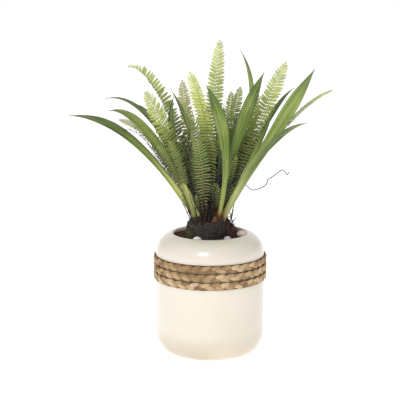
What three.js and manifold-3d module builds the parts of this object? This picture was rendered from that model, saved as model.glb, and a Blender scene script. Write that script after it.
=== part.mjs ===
// A fern and strap-leaf plant in a round-shouldered ceramic pot with three rows of rope braid.
// Millimetres, +Z up. The origin is the centre of the pot's flat foot, the front faces -Y.
import * as THREE from 'three';
import { mergeVertices } from 'three/addons/utils/BufferGeometryUtils.js';
import Module from 'manifold-3d';

const wasm = await Module();
wasm.setup();

// Driving dimensions
const GAP = 0.3; // clearance between pieces that touch
const ROUND_SIDES = 36; // facets round the pot and the soil

const POT_RADIUS = 85;
const POT_HEIGHT = 189.7;
const FOOT_RADIUS = 60.6;
const FOOT_RISE = 31.5; // height of the rounding above the foot
const SHOULDER_REACH = 45.5; // how far the shoulder turns in
const SHOULDER_RISE = 40;
const SHOULDER_POWER = 2.5; // superellipse exponent: 2 is an ellipse, more is boxier
const MOUTH_RADIUS = 59.7; // where the shoulder meets the rounded lip
const LIP_RADIUS = 3.2;
const POT_WALL = 6.2;
const POT_FLOOR = 8;
const FOOT_STEPS = 4; // facets of each curve of the pot's section
const SHOULDER_STEPS = 5;
const HOLLOW_STEPS = 4;
const LIP_SHARES = [0.4, 0.7, 1]; // corners of the lip's quarter round
const LIP_CENTRE = MOUTH_RADIUS + GAP;
const NECK_RADIUS = LIP_CENTRE - LIP_RADIUS; // the clear width of the mouth

const SOIL_LEVEL = 181;

const ROPE_LOW = 116;
const ROPE_ROW_HEIGHT = 12.9;
const ROPE_ROWS = ['bottom', 'middle', 'top'];
const ROPE_LOBES = 35; // plaited lobes in one turn
const ROPE_PROUD = 4.4; // how far a lobe stands off the wall
const ROPE_DIP = 2.9; // how far the valleys between lobes stand off it
const ROPE_SWAY = 0.8; // how far a crest sways up and down

const MOUND_RADIUS = 36;
const MOUND_HEIGHT = 32;
const MOUND_CENTRE_X = -1;
const MOUND_POWER = 2.6;
const MOUND_SIDES = 24;
const MOUND_ROWS = [1, 0.96, 0.82, 0.6, 0.32]; // shares of the radius
const MOUND_SWELL = 0.6; // how far its surface rises and dips

const ROOT_DEPTH = 9; // how deep a stem stands in its hole
const ROOT_SINK = 1.5; // how far below the mound's skin a leaf's curve starts
const HOLE_SIDES = 5;
const HOLE_CLEAR = 14; // how far a hole's cutter runs on above the root
const STRAP_HOLE = 3.1; // radius of the hole that a strap leaf stands in
const SHEATH_HOLE = 4.6;
const FROND_HOLE = 1.9;
const ROD_SLACK = 1.1; // a hole's radius over a twig's

const BLADE_HALF = 0.4; // half the thickness of a leaf
const RIB_HALF = 0.9; // half the width and thickness of a frond's midrib

const STRAP_STEPS = 9;
const STRAP_BASE = 4.4; // width where it leaves the mound
const STRAP_POINT = 0.9; // width at the very tip
const STRAP_FOLD = 0.18; // drop of the fold against half the width
const STRAP_BELLY = 2.3; // moves the widest place towards the tip: 1 is the middle
const STRAP_SWELL = 1.2; // more draws the blade in faster towards both ends

const LEAFLET_TIP = 0.45; // width of a leaflet's end against its root
const LEAFLET_LEAN = 0.25; // how far it points ahead, against its length
const LEAFLET_DROOP = 0.12; // how far it hangs below the face, against its length
const LEAFLET_SWELL = 0.16; // where on a half sine wave the lowest leaflets' length starts
const LEAFLET_CLOSE = 0.8; // how much of the wave the frond then runs through: less ends it blunt
const TIP_PITCHES = 0.6; // bare end of a frond's midrib, in leaflet pitches

const TUBE_SIDES = 5;
const TWIG_RADIUS = 0.8;
const TENDRIL_RADIUS = 0.6;

// ---------------------------------------------------------------- solids from skins and booleans

// The solid's signed volume, negative where its faces point in.
function signedVolume(positions, faces) {
  const [a, b, c] = [new THREE.Vector3(), new THREE.Vector3(), new THREE.Vector3()];
  let volume = 0;
  for (let i = 0; i < faces.length; i += 3) {
    a.fromArray(positions, 3 * faces[i]);
    b.fromArray(positions, 3 * faces[i + 1]);
    c.fromArray(positions, 3 * faces[i + 2]);
    volume += a.dot(b.cross(c)) / 6;
  }
  return volume;
}

function indexedGeometry(positions, faces) {
  if (signedVolume(positions, faces) < 0) faces.reverse();
  const geometry = new THREE.BufferGeometry();
  geometry.setAttribute('position', new THREE.Float32BufferAttribute(positions, 3));
  geometry.setIndex(faces);
  return geometry;
}

// A thin sheet of points, each with its own normal and half thickness, made into one closed solid.
// Both skins are split into the same triangles, and every free edge is closed by a strip.
class Sheet {
  constructor() {
    this.points = [];
    this.faces = [];
  }

  point(place, normal, half) {
    this.points.push({ place, normal, half });
    return this.points.length - 1;
  }

  quad(a, b, c, d) {
    this.faces.push([a, b, c], [a, c, d]);
  }

  solid() {
    const positions = [];
    for (const side of [1, -1]) {
      for (const { place, normal, half } of this.points) {
        positions.push(...place.clone().addScaledVector(normal, side * half).toArray());
      }
    }
    const under = this.points.length;
    const edges = new Set();
    for (const [a, b, c] of this.faces) {
      for (const [from, to] of [[a, b], [b, c], [c, a]]) edges.add(`${from} ${to}`);
    }
    const faces = [];
    for (const [a, b, c] of this.faces) {
      faces.push(a, b, c, under + c, under + b, under + a);
      for (const [from, to] of [[a, b], [b, c], [c, a]]) {
        if (edges.has(`${to} ${from}`)) continue;
        faces.push(under + from, under + to, to, under + from, to, from);
      }
    }
    return indexedGeometry(positions, faces);
  }
}

function toManifold(geometry) {
  const bare = geometry.clone();
  bare.deleteAttribute('normal');
  bare.deleteAttribute('uv');
  const merged = mergeVertices(bare);
  return new wasm.Manifold(new wasm.Mesh({
    numProp: 3,
    vertProperties: new Float32Array(merged.attributes.position.array),
    triVerts: new Uint32Array(merged.index.array),
  }));
}

function fromManifold(solid) {
  const mesh = solid.getMesh();
  return indexedGeometry(Array.from(mesh.vertProperties), Array.from(mesh.triVerts));
}

// A closed ring or dome turned about Z. shape(column, row) gives each point's radius and height.
function turned(columns, rows, shape) {
  const profile = rows.map(([radius, height]) => new THREE.Vector2(radius, height));
  const geometry = new THREE.LatheGeometry(profile, columns);
  geometry.rotateX(Math.PI / 2);
  if (!shape) return fromManifold(toManifold(geometry));
  const place = geometry.attributes.position;
  for (let i = 0; i < place.count; i++) {
    const row = i % rows.length;
    const column = Math.floor(i / rows.length) % columns;
    const [radius, height] = shape(column, row);
    const angle = (2 * Math.PI * column) / columns;
    place.setXYZ(i, radius * Math.cos(angle), radius * Math.sin(angle), height);
  }
  return fromManifold(toManifold(geometry));
}

// ---------------------------------------------------------------- pot and soil

// The shoulder, drawn in by the wall's thickness for the inside. turn runs from 0 at the belly.
function shoulderPoint(turn, inset) {
  const centre = POT_RADIUS - SHOULDER_REACH;
  return [
    centre + (SHOULDER_REACH - inset) * Math.cos(turn) ** (2 / SHOULDER_POWER),
    POT_HEIGHT - SHOULDER_RISE + (SHOULDER_RISE - inset) * Math.sin(turn) ** (2 / SHOULDER_POWER),
  ];
}

// The turn at which the shoulder is drawn in to the given radius.
function shoulderTurn(radius, inset) {
  const share = (radius - POT_RADIUS + SHOULDER_REACH) / (SHOULDER_REACH - inset);
  return Math.acos(share ** (SHOULDER_POWER / 2));
}

// The outside of the shoulder, from the belly to the mouth.
function shoulderRun() {
  const last = shoulderTurn(MOUTH_RADIUS, 0);
  return Array.from({ length: SHOULDER_STEPS + 1 }, (_, i) => {
    return shoulderPoint((last * i) / SHOULDER_STEPS, 0);
  });
}

// The rounding above the foot, from the flat to the belly.
function footRun(inset, floor, steps) {
  const [reach, rise] = [POT_RADIUS - FOOT_RADIUS - inset / 2, FOOT_RISE - inset / 2];
  const centre = POT_RADIUS - inset - reach;
  return Array.from({ length: steps + 1 }, (_, i) => {
    const turn = (Math.PI / 2) * (i / steps);
    return [centre + reach * Math.sin(turn), floor + rise * (1 - Math.cos(turn))];
  });
}

// The pot's hollow from the floor's corner up to the neck, drawn in further by the clearance.
function hollowRun(clearance) {
  const last = shoulderTurn(NECK_RADIUS, POT_WALL);
  const shoulder = Array.from({ length: HOLLOW_STEPS + 1 }, (_, i) => {
    return shoulderPoint((last * i) / HOLLOW_STEPS, POT_WALL + clearance);
  });
  return [...footRun(POT_WALL + clearance, POT_FLOOR + clearance, FOOT_STEPS - 1), ...shoulder];
}

function potGeometry() {
  const lipHeight = shoulderPoint(shoulderTurn(MOUTH_RADIUS, 0), 0)[1] - LIP_RADIUS;
  const lip = LIP_SHARES.map((share) => {
    const turn = Math.PI / 2 + (Math.PI / 2) * share;
    return [LIP_CENTRE + LIP_RADIUS * Math.cos(turn), lipHeight + LIP_RADIUS * Math.sin(turn)];
  });
  return turned(ROUND_SIDES, [
    [0, 0],
    ...footRun(0, 0, FOOT_STEPS),
    ...shoulderRun(),
    ...lip,
    ...hollowRun(0).reverse(),
    [0, POT_FLOOR],
  ]);
}

function soilGeometry() {
  const wall = hollowRun(GAP).slice(0, -1);
  return turned(ROUND_SIDES, [
    [0, POT_FLOOR + GAP],
    ...wall,
    [NECK_RADIUS, SOIL_LEVEL],
    [0, SOIL_LEVEL],
  ]);
}

// ---------------------------------------------------------------- rope

// One plaited row: two crests of lobes, half a lobe out of step, on a flat back along the wall.
function ropeGeometry(row) {
  const low = ROPE_LOW + row * ROPE_ROW_HEIGHT;
  const high = low + ROPE_ROW_HEIGHT - GAP;
  const back = POT_RADIUS + GAP;
  const crest = (high - low) / 4;
  const outline = [
    [back, low + 1],
    [back + ROPE_DIP / 2, low],
    [back + ROPE_PROUD, low + crest],
    [back + ROPE_PROUD, high - crest],
    [back + ROPE_DIP / 2, high],
    [back, high - 1],
    [back, low + 1],
  ];
  return turned(2 * ROPE_LOBES, outline, (column, index) => {
    const [radius, height] = outline[index];
    const lower = index === 2;
    const upper = index === 3;
    if (!lower && !upper) return [radius, height];
    const swell = (column + row) % 2 === (lower ? 0 : 1);
    const sway = swell === lower ? ROPE_SWAY : -ROPE_SWAY;
    return [back + (swell ? ROPE_PROUD : ROPE_DIP), height + sway];
  });
}

// ---------------------------------------------------------------- leaves

// The mound's height over the soil at a distance from its axis.
function moundRise(distance) {
  return MOUND_HEIGHT * (1 - (distance / MOUND_RADIUS) ** MOUND_POWER) ** (1 / MOUND_POWER);
}

// A leaf's midrib: from its root on the mound, through its middle, to its tip. Its face turns
// towards one direction all along. The stem runs on below the root, straight down its hole.
class Midrib {
  constructor({ root, middle, tip, face }) {
    const [x, y] = root;
    const distance = Math.hypot(x - MOUND_CENTRE_X, y);
    const start = new THREE.Vector3(x, y, SOIL_LEVEL + moundRise(distance) - ROOT_SINK);
    const end = new THREE.Vector3(...tip);
    const control = new THREE.Vector3(...middle).multiplyScalar(2);
    control.addScaledVector(start, -0.5).addScaledVector(end, -0.5);
    this.curve = new THREE.QuadraticBezierCurve3(start, control, end);
    this.length = this.curve.getLength();
    this.face = new THREE.Vector3(...face).normalize();
    this.root = start;
    this.rootDirection = this.curve.getTangent(0);
  }

  // Place, direction, side and normal at a share of the length. Below 0 is inside the mound.
  frame(share) {
    const inside = share < 0;
    const direction = inside ? this.rootDirection.clone() : this.curve.getTangentAt(share);
    const place = inside
      ? this.root.clone().addScaledVector(this.rootDirection, share * this.length)
      : this.curve.getPointAt(share);
    const normal = this.face.clone().addScaledVector(direction, -this.face.dot(direction)).normalize();
    return { place, direction, normal, side: direction.clone().cross(normal) };
  }

  // The point to one side of the midrib and below the face.
  offset(frame, across, drop) {
    return frame.place.clone().addScaledVector(frame.side, across).addScaledVector(frame.normal, -drop);
  }
}

// A strap leaf: narrow at the base, widest past its middle, drawn out to a point, folded on its rib.
function strapGeometry(leaf) {
  const midrib = new Midrib(leaf);
  const sheet = new Sheet();
  const shares = [-ROOT_DEPTH / midrib.length];
  for (let i = 0; i <= STRAP_STEPS; i++) shares.push(i / STRAP_STEPS);
  let last = null;
  for (const share of shares) {
    const frame = midrib.frame(share);
    const grown = Math.max(share, 0);
    const belly = Math.max(Math.sin(Math.PI * grown ** STRAP_BELLY), 0) ** STRAP_SWELL;
    const taper = STRAP_BASE * (1 - grown);
    const half = Math.max(taper + (leaf.width - taper * 0.4) * belly, STRAP_POINT) / 2;
    const drop = STRAP_FOLD * half;
    const row = [
      sheet.point(midrib.offset(frame, -half, 0), frame.normal, BLADE_HALF),
      sheet.point(midrib.offset(frame, 0, drop), frame.normal, BLADE_HALF * 1.4),
      sheet.point(midrib.offset(frame, half, 0), frame.normal, BLADE_HALF),
    ];
    if (last) {
      sheet.quad(last[0], last[1], row[1], row[0]);
      sheet.quad(last[1], last[2], row[2], row[1]);
    }
    last = row;
  }
  return sheet.solid();
}

// A frond: leaflets cut to the midrib in one thin arched blade. The bare stem runs below them.
function frondGeometry(leaf) {
  const { pairs, bare, reach, droop = LEAFLET_DROOP, close = LEAFLET_CLOSE } = leaf;
  const midrib = new Midrib(leaf);
  const sheet = new Sheet();
  const ribPoints = (share, half) => {
    const frame = midrib.frame(share);
    const points = [-half, half].map((across) => {
      return sheet.point(midrib.offset(frame, across, 0), frame.normal, Math.max(half, BLADE_HALF));
    });
    return { frame, points };
  };
  const join = (from, to) => sheet.quad(from.points[0], from.points[1], to.points[1], to.points[0]);

  let last = ribPoints(-ROOT_DEPTH / midrib.length, RIB_HALF);
  for (const share of [0, bare * 0.5]) {
    const next = ribPoints(share, RIB_HALF);
    join(last, next);
    last = next;
  }
  const pitch = (1 - bare) / (pairs + TIP_PITCHES);
  const root = midrib.length * pitch;
  let low = ribPoints(bare, RIB_HALF);
  join(last, low);
  for (let i = 0; i < pairs; i++) {
    const along = i / (pairs - 1);
    const high = ribPoints(bare + pitch * (i + 1), RIB_HALF * (1 - 0.5 * along));
    join(low, high);
    const swell = Math.sin(Math.PI * (LEAFLET_SWELL + close * along));
    const length = reach * swell ** 0.8;
    for (const across of [-1, 1]) {
      const tips = [low, high].map(({ frame }, end) => {
        const place = midrib.offset(frame, across * (RIB_HALF + length), length * droop);
        const inward = (root / 2) * (1 - LEAFLET_TIP) * (end ? -1 : 1);
        place.addScaledVector(frame.direction, length * LEAFLET_LEAN + inward);
        return sheet.point(place, frame.normal, BLADE_HALF);
      });
      const edge = across > 0 ? 1 : 0;
      const corners = [low.points[edge], tips[0], tips[1], high.points[edge]];
      sheet.quad(...(across > 0 ? corners : corners.reverse()));
    }
    low = high;
  }
  last = low;
  join(last, ribPoints(1, BLADE_HALF));
  return sheet.solid();
}

// ---------------------------------------------------------------- the plant's own lists (mm)

// Roots are places on the mound; middles and tips are points of the midrib.
const STRAPS = {
  left_long: {
    root: [-19, -14], middle: [-116, -44, 335], tip: [-206, -80, 376],
    face: [0.3, -1, 0.5], width: 8, tint: 'deep',
  },
  left_rear: {
    root: [-19, 1], middle: [-110, -12, 328], tip: [-189, -24, 372],
    face: [0.3, -1, 0.5], width: 8, tint: 'deep',
  },
  left_upper: {
    root: [-14, -18], middle: [-86, -64, 344], tip: [-144, -110, 386],
    face: [0.3, -1, 0.6], width: 13, tint: 'green',
  },
  left_back: {
    root: [-17, 13], middle: [-90, 26, 357], tip: [-167, 62, 390],
    face: [0.5, -1, 0.8], width: 7, tint: 'grey',
  },
  left_inner: {
    root: [-16, 7], middle: [-77, 14, 341], tip: [-114, 36, 383],
    face: [0.3, -1, 0.3], width: 8, tint: 'grey',
  },
  left_narrow: {
    root: [-9, -19], middle: [-24, -48, 328], tip: [-58, -74, 414],
    face: [0.2, -1, 0.3], width: 6.5, tint: 'deep',
  },
  left_short: {
    root: [-14, -4], middle: [-54, -13, 327], tip: [-55, -28, 400],
    face: [0.2, -1, 0.1], width: 9, tint: 'deep',
  },
  front_broad: {
    root: [11, -23], middle: [21, -66, 325], tip: [-7, -108, 422],
    face: [0, -1, 0.2], width: 17, tint: 'blue',
  },
  front_rear: {
    root: [4, -3], middle: [17, 2, 316], tip: [21, 8, 386],
    face: [0, -1, 0], width: 9, tint: 'deep',
  },
  right_tall: {
    root: [15, 11], middle: [64, 34, 362], tip: [48, 66, 467],
    face: [-0.2, -1, 0], width: 7, tint: 'green',
  },
  right_upright: {
    root: [9, -12], middle: [43, -30, 344], tip: [79, -42, 437],
    face: [0, -1, 0], width: 18, tint: 'blue',
  },
  right_inner: {
    root: [12, 3], middle: [32, 7, 312], tip: [49, 20, 376],
    face: [0.4, -1, 0], width: 11, tint: 'deep',
  },
  right_long: {
    root: [15, -15], middle: [86, -46, 333], tip: [151, -66, 443],
    face: [-0.3, -1, 0.3], width: 19, tint: 'green',
  },
  right_kinked: {
    root: [18, 7], middle: [85, 26, 350], tip: [134, 56, 408],
    face: [0, -1, 0.2], width: 7, tint: 'grey',
  },
  right_low: {
    root: [18, -20], middle: [78, -62, 320], tip: [137, -104, 368],
    face: [-0.3, -1, 0.6], width: 9, tint: 'green',
  },
  right_olive: {
    root: [21, 1], middle: [80, 3, 319], tip: [129, 10, 360],
    face: [-0.2, -1, 0.3], width: 9, tint: 'olive',
  },
  back_left: {
    root: [-12, 21], middle: [-55, 52, 315], tip: [-98, 88, 352],
    face: [0.2, 1, 0.5], width: 13, tint: 'green',
  },
  back_right: {
    root: [12, 22], middle: [48, 60, 312], tip: [86, 96, 348],
    face: [-0.2, 1, 0.5], width: 13, tint: 'deep',
  },
};

const FRONDS = {
  tall: {
    root: [-1, 6], middle: [4, 12, 349], tip: [15, 26, 483],
    face: [0, -1, 0.1], pairs: 18, bare: 0.22, reach: 13, tint: 'bright',
  },
  front: {
    root: [-3, -20], middle: [-2, -54, 330], tip: [-30, -118, 441],
    face: [-0.5, -1, 0.3], pairs: 18, bare: 0.06, reach: 14, droop: -0.35, close: 0.66,
    tint: 'bright',
  },
  front_low: {
    root: [-10, -27], middle: [-11, -50, 280], tip: [-21, -88, 343],
    face: [0, -1, 0.2], pairs: 10, bare: 0.08, reach: 13, tint: 'olive',
  },
  upright: {
    root: [-7, -9], middle: [-7, -13, 330], tip: [-26, -22, 433],
    face: [1, -0.8, 0], pairs: 13, bare: 0.2, reach: 12, tint: 'bright',
  },
  pink: {
    root: [-8, 17], middle: [-30, 30, 328], tip: [-44, 62, 420],
    face: [0.2, -1, 0], pairs: 11, bare: 0.25, reach: 11, tint: 'pink',
  },
  left_high: {
    root: [-9, 8], middle: [-72, 13, 388], tip: [-128, 40, 441],
    face: [0.8, -0.5, 0.5], pairs: 15, bare: 0.2, reach: 15, droop: -0.6, tint: 'bright',
  },
  left_bright: {
    root: [-17, -10], middle: [-63, -34, 341], tip: [-96, -76, 409],
    face: [0.3, -1, 0.4], pairs: 15, bare: 0.12, reach: 15, close: 0.62, tint: 'bright',
  },
  left_low: {
    root: [-25, -4], middle: [-76, -11, 321], tip: [-137, -30, 365],
    face: [0.4, -0.5, 1], pairs: 11, bare: 0.25, reach: 12, tint: 'pink',
  },
  centre_olive: {
    root: [4, 10], middle: [25, 18, 330], tip: [33, 36, 404],
    face: [0, -1, 0], pairs: 11, bare: 0.25, reach: 9, tint: 'olive',
  },
  centre_back: {
    root: [5, 18], middle: [29, 42, 327], tip: [49, 86, 408],
    face: [-0.3, -1, 0], pairs: 11, bare: 0.25, reach: 10, tint: 'olive',
  },
  right_bright: {
    root: [13, -4], middle: [64, -5, 335], tip: [116, 12, 450],
    face: [0, -1, 0.1], pairs: 16, bare: 0.2, reach: 14, tint: 'bright',
  },
  right_back: {
    root: [8, 14], middle: [52, 30, 312], tip: [75, 60, 400],
    face: [0, -1, 0], pairs: 11, bare: 0.25, reach: 11, tint: 'olive',
  },
  right_far: {
    root: [20, -5], middle: [107, -16, 348], tip: [182, -32, 410],
    face: [-0.5, -0.3, 1], pairs: 9, bare: 0.55, reach: 8, tint: 'bright',
  },
  back_left: {
    root: [-3, 24], middle: [-20, 66, 318], tip: [-52, 125, 388],
    face: [0, 1, 0.8], pairs: 12, bare: 0.2, reach: 15, tint: 'bright',
  },
  back_right: {
    root: [5, 27], middle: [28, 72, 310], tip: [62, 132, 372],
    face: [0, 1, 0.8], pairs: 12, bare: 0.2, reach: 15, tint: 'bright',
  },
};

const SPRAYS = {
  left_front: {
    root: [-28, -10], middle: [-88, -28, 322], tip: [-129, -48, 351],
    face: [0.3, -1, 0.4], pairs: 8, bare: 0.4, reach: 5,
  },
  left_rear: {
    root: [-27, 6], middle: [-85, 3, 316], tip: [-123, 2, 355],
    face: [0.3, -1, 0.4], pairs: 8, bare: 0.4, reach: 5,
  },
  left_upright: {
    root: [-13, 0], middle: [-49, -7, 314], tip: [-68, -16, 372],
    face: [0.3, -1, 0], pairs: 7, bare: 0.4, reach: 5,
  },
  left_foot: {
    root: [-26, -20], middle: [-35, -36, 236], tip: [-42, -48, 255],
    face: [0, -1, 0], pairs: 5, bare: 0.3, reach: 4,
  },
  centre: {
    root: [-18, -25], middle: [-31, -46, 299], tip: [-30, -74, 358],
    face: [0, -1, 0], pairs: 7, bare: 0.4, reach: 5,
  },
  front: {
    root: [-5, -31], middle: [10, -57, 278], tip: [16, -84, 327],
    face: [0, -1, 0], pairs: 7, bare: 0.35, reach: 5,
  },
  centre_back: {
    root: [-1, 15], middle: [28, 25, 305], tip: [42, 40, 363],
    face: [0, -1, 0], pairs: 7, bare: 0.4, reach: 5,
  },
  right: {
    root: [17, 5], middle: [57, 11, 316], tip: [89, 24, 359],
    face: [-0.3, -1, 0], pairs: 8, bare: 0.4, reach: 5,
  },
};

const SHEATH = {
  root: [4, -29], middle: [5, -33, 210], tip: [9, -35, 219],
  face: [0.3, -1, 0], width: 8,
};

const TENDRIL = [
  [30, -5, 199], [34, -7, 220], [40, -11, 244], [46, -14, 256], [53, -20, 265], [61, -27, 260],
  [67, -30, 259], [79, -30, 263], [86, -29, 269], [87, -27, 274], [95, -25, 279], [105, -22, 286],
  [111, -20, 288], [117, -20, 281], [120, -20, 285],
];

const TWIG_STEM = [[31, -13, 193], [34, -14, 200], [33.5, -15, 208], [31.5, -15, 217], [28, -16, 229]];
const TWIG_BRANCHES = [
  [[33, -15, 211], [34.5, -15, 219], [36, -14, 226]],
  [[34, -15, 206], [38, -16, 211], [41, -16, 215]],
  [[32.5, -15, 213], [27, -18, 216], [21.5, -20, 215]],
];

const PEBBLES = {
  white: { centre: [-20, -47], size: [6.5, 4.5, 4.4], color: 0xf2f0ea },
  mauve: { centre: [26, -43], size: [5.5, 4.5, 4.4], color: 0xd9d2d6 },
  cream: { centre: [48.7, -11.8], size: [6.8, 6.2, 5.2], color: 0xe6dccb },
  back_cream: { centre: [13, 49], size: [6, 5, 4.2], color: 0xe0d8c8 },
  back_white: { centre: [-22, 45], size: [5.5, 5, 4], color: 0xf0eee8 },
};

// ---------------------------------------------------------------- mound and pebbles

// A straight hole down from the root, along the stem.
function stemHole(root, direction, radius, depth) {
  const length = depth + GAP + HOLE_CLEAR;
  const hole = new THREE.CylinderGeometry(radius, radius, length, HOLE_SIDES);
  hole.translate(0, length / 2 - depth - GAP, 0);
  hole.applyQuaternion(new THREE.Quaternion().setFromUnitVectors(new THREE.Vector3(0, 1, 0), direction));
  return hole.translate(...root.toArray());
}

// A lumpy dome of roots and moss, resting on the soil, with a hole for every stem.
function moundGeometry(holes) {
  const outline = [
    [0, 0],
    ...MOUND_ROWS.map((share) => [share * MOUND_RADIUS, moundRise(share * MOUND_RADIUS)]),
    [0, MOUND_HEIGHT],
  ];
  const base = SOIL_LEVEL + GAP;
  const dome = turned(MOUND_SIDES, outline, (column, row) => {
    const [radius, rise] = outline[row];
    const angle = (2 * Math.PI * column) / MOUND_SIDES;
    const lump = 1 + 0.035 * Math.sin(5 * angle + row) + 0.025 * Math.sin(9 * angle - 2 * row);
    const swell = radius && rise ? MOUND_SWELL * Math.sin(4 * angle + 2 * row) : 0;
    return [radius * lump, base + rise + swell];
  });
  const solid = toManifold(dome.translate(MOUND_CENTRE_X, 0, 0));
  return fromManifold(holes.reduce((left, hole) => left.subtract(toManifold(hole)), solid));
}

function pebbleGeometry({ centre, size }) {
  const pebble = new THREE.IcosahedronGeometry(1, 1);
  return pebble.scale(...size).translate(...centre, SOIL_LEVEL + GAP + size[2]);
}

// ---------------------------------------------------------------- twig and tendril

// A round rod of even thickness through a list of points.
function rodGeometry(points, radius, steps) {
  const section = new THREE.Shape();
  for (let i = 0; i < TUBE_SIDES; i++) {
    const turn = (2 * Math.PI * i) / TUBE_SIDES;
    const corner = [radius * Math.cos(turn), radius * Math.sin(turn)];
    if (i) section.lineTo(...corner);
    else section.moveTo(...corner);
  }
  const path = new THREE.CatmullRomCurve3(points.map((point) => new THREE.Vector3(...point)));
  return new THREE.ExtrudeGeometry(section, { steps, extrudePath: path, bevelEnabled: false });
}

function twigGeometry() {
  const branches = TWIG_BRANCHES.map((points) => rodGeometry(points, TWIG_RADIUS * 0.8, 3));
  const stem = toManifold(rodGeometry(TWIG_STEM, TWIG_RADIUS, 5));
  return fromManifold(branches.reduce((wood, branch) => wood.add(toManifold(branch)), stem));
}

function rodHole(points, radius) {
  const [root, next] = points.map((point) => new THREE.Vector3(...point));
  return stemHole(root, next.sub(root).normalize(), radius + ROD_SLACK, 0);
}

// ---------------------------------------------------------------- assembly

const plant = new THREE.Group();

function addPiece(name, geometry, color, roughness) {
  const material = new THREE.MeshStandardMaterial({ color, roughness, metalness: 0 });
  const mesh = new THREE.Mesh(geometry, material);
  mesh.name = name;
  plant.add(mesh);
  return mesh;
}

addPiece('pot', potGeometry(), 0xf3ede0, 0.18);
ROPE_ROWS.forEach((name, row) => addPiece(`braid_row_${name}`, ropeGeometry(row), 0xb2906a, 0.85));
addPiece('soil', soilGeometry(), 0x3a2a1f, 0.95);
for (const [name, pebble] of Object.entries(PEBBLES)) {
  addPiece(`pebble_${name}`, pebbleGeometry(pebble), pebble.color, 0.55);
}

function leafHole(leaf, radius) {
  const midrib = new Midrib(leaf);
  return stemHole(midrib.root, midrib.rootDirection, radius, ROOT_DEPTH);
}

const holes = [
  ...Object.values(STRAPS).map((leaf) => leafHole(leaf, STRAP_HOLE)),
  leafHole(SHEATH, SHEATH_HOLE),
  ...[...Object.values(FRONDS), ...Object.values(SPRAYS)].map((leaf) => leafHole(leaf, FROND_HOLE)),
  rodHole(TWIG_STEM, TWIG_RADIUS),
  rodHole(TENDRIL, TENDRIL_RADIUS),
];
addPiece('root_mound', moundGeometry(holes), 0x2e2a1c, 0.95);

const TINTS = {
  deep: 0x3f5638,
  green: 0x5f7d45,
  blue: 0x557a5c,
  grey: 0x65776a,
  olive: 0x6d7b42,
  bright: 0x9cb264,
  pink: 0xa79a78,
};

for (const [name, leaf] of Object.entries(STRAPS)) {
  addPiece(`strap_leaf_${name}`, strapGeometry(leaf), TINTS[leaf.tint], 0.5);
}
for (const [name, leaf] of Object.entries(FRONDS)) {
  addPiece(`fern_frond_${name}`, frondGeometry(leaf), TINTS[leaf.tint], 0.6);
}
for (const [name, leaf] of Object.entries(SPRAYS)) {
  addPiece(`dark_spray_${name}`, frondGeometry(leaf), 0x2c2a33, 0.6);
}
addPiece('dry_sheath', strapGeometry(SHEATH), 0x9a5f2c, 0.7);
addPiece('dry_twig', twigGeometry(), 0x6b4a35, 0.8);
addPiece('tendril', rodGeometry(TENDRIL, TENDRIL_RADIUS, 28), 0x6f675c, 0.7);

export default plant;
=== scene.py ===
import random
from bisect import bisect_left
from math import acos, cos, exp, hypot, pi, radians, sin, sqrt

import bmesh
import bpy
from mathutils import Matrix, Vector, noise


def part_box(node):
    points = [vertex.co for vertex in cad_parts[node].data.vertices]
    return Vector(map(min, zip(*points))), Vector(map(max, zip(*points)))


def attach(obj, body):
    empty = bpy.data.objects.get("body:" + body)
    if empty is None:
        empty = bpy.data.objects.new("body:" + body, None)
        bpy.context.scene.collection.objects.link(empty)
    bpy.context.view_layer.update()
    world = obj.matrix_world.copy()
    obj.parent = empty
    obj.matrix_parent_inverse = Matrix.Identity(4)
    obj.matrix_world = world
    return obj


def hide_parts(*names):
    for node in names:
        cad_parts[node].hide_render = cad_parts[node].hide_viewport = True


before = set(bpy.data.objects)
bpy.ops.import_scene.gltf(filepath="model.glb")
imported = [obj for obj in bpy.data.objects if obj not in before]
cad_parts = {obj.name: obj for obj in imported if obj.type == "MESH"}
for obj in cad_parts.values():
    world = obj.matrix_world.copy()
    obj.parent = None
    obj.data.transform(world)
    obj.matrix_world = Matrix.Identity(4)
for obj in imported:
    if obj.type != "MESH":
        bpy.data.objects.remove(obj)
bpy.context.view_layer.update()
MM = 0.001

# ---------------- pot
# The pot is one slip-cast jar with a drawn-in shoulder and a rounded lip. It is stoneware under a
# smooth cream glaze, a little cloudy, darkened towards the foot with painted shade.

POT_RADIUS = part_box("pot")[1][0] / MM
POT_HEIGHT = 189.7
FOOT_RADIUS = 60.6
FOOT_RISE = 31.5  # height of the rounding above the foot
FOOT_STEPS = 18
SHOULDER_REACH = 45.5  # how far the shoulder turns in
SHOULDER_RISE = 40
SHOULDER_POWER = 2.5  # 2 is an ellipse, more is boxier
SHOULDER_STEPS = 28
MOUTH_RADIUS = 59.7  # where the shoulder meets the rounded lip
LIP_RADIUS = 3.2
LIP_CENTRE = 60.0
LIP_STEPS = 8
NECK_RADIUS = LIP_CENTRE - LIP_RADIUS
POT_WALL = 6.2
POT_FLOOR = 8
POT_SIDES = 144
FOOT_SHADE_HEIGHT = 42 * MM  # up to this height the glaze darkens towards the foot, painted shade


def paint(code):
    """A colour as a maker writes it, six hexadecimal digits, in the linear light that shaders use."""
    shares = [int(code[i:i + 2], 16) / 255 for i in (0, 2, 4)]
    return (*((s / 12.92 if s <= 0.04045 else ((s + 0.055) / 1.055) ** 2.4) for s in shares), 1)


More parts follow.
